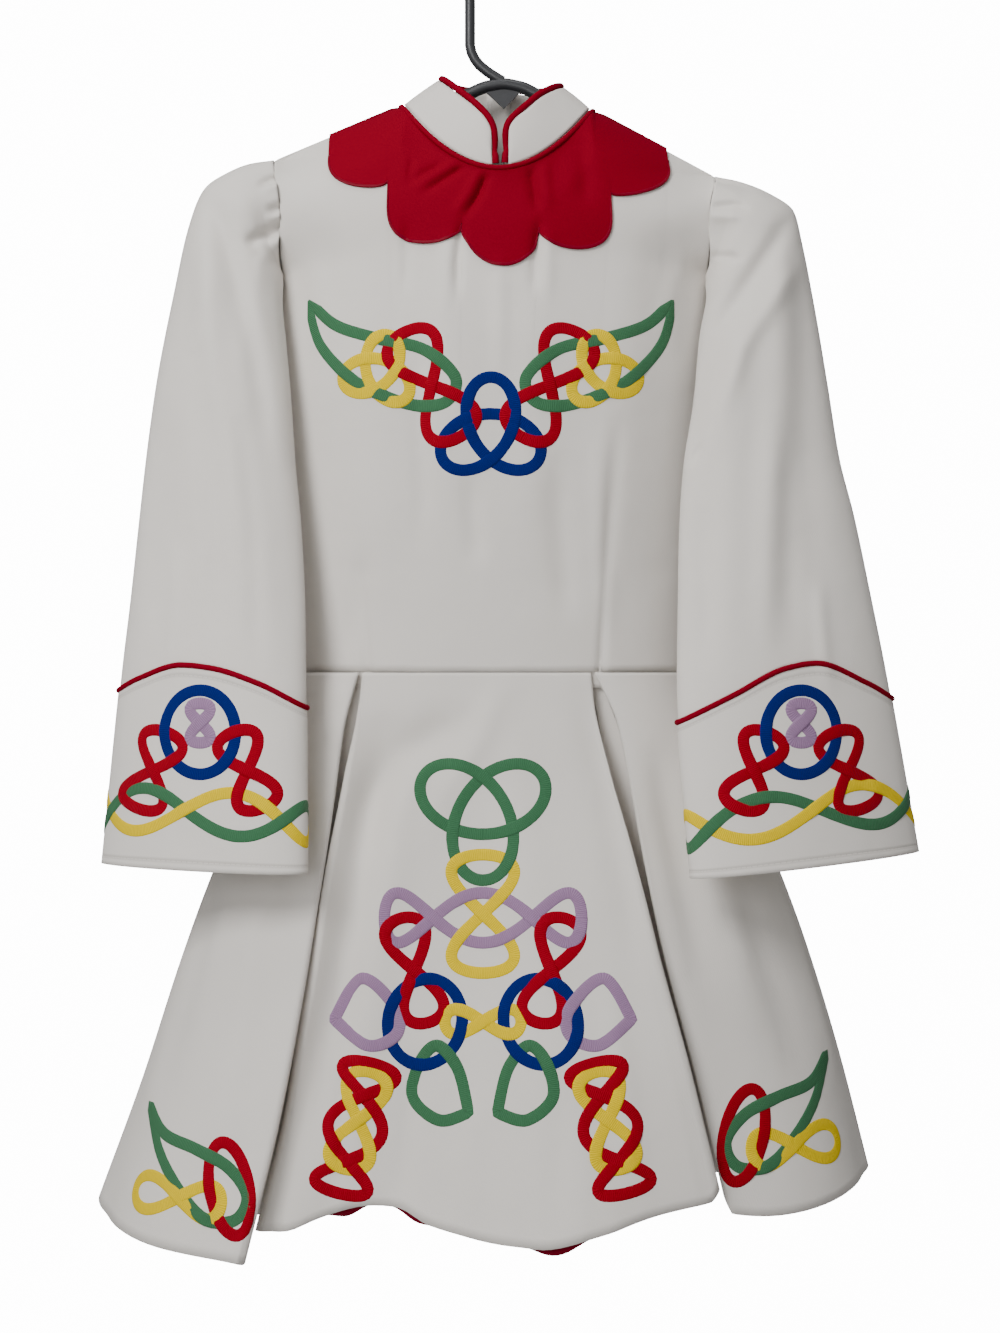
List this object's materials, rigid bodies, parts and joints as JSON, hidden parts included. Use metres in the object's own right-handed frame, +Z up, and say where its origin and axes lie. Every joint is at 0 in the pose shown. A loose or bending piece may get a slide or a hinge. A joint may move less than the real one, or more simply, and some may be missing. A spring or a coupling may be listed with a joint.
{
  "type": "irish dance dress on a hanger",
  "caption": "Long-sleeved dance dress with a stand collar, scalloped yoke, fitted bodice and pleated flared skirt, on a hanger.",
  "frame": {"origin": "inner top of the hanger's hook, where a rail holds it", "axes": "+Z up, the front of the dress faces -Y, +X is to the right seen from the front"},
  "size_m": [0.6217, 0.2294, 0.9849],
  "materials": {
    "ivory_cloth": "matt twill",
    "red_cloth": "matt",
    "zip_metal": "satin",
    "grey_plastic": "satin"
  },
  "bodies": {
    "dress": {"bodice_back_left": "ivory_cloth", "bodice_back_right": "ivory_cloth", "bodice_front": "ivory_cloth", "collar_left": "ivory_cloth", "collar_piping_left": "red_cloth", "collar_piping_right": "red_cloth", "collar_right": "ivory_cloth", "cuff_left": "ivory_cloth", "cuff_piping_left": "red_cloth", "cuff_piping_right": "red_cloth", "cuff_right": "ivory_cloth", "hanger_arms": "grey_plastic", "hanger_hook": "grey_plastic", "neck_piping": "red_cloth", "pleat_underlay_back_left": "ivory_cloth", "pleat_underlay_back_right": "ivory_cloth", "pleat_underlay_front_left": "ivory_cloth", "pleat_underlay_front_right": "ivory_cloth", "skirt_back_left": "ivory_cloth", "skirt_back_right": "ivory_cloth", "skirt_centre_front": "ivory_cloth", "skirt_gore_left": "ivory_cloth", "skirt_gore_right": "ivory_cloth", "skirt_lining": "red_cloth", "sleeve_left": "ivory_cloth", "sleeve_right": "ivory_cloth", "yoke_back_left": "red_cloth", "yoke_back_right": "red_cloth", "yoke_front": "red_cloth", "zip_chain": "zip_metal", "zip_slider": "zip_metal", "zip_tape": "ivory_cloth"},
    "zip_tab": {"zip_tab": "zip_metal"}
  },
  "joints": [
    {"name": "zip_tab_hinge", "type": "hinge", "parent": "dress", "child": "zip_tab", "pos_m": [-0.001, 0.02845, -0.12067], "axis": [1, 0, 0], "range_deg": [0, 165]}
  ]
}
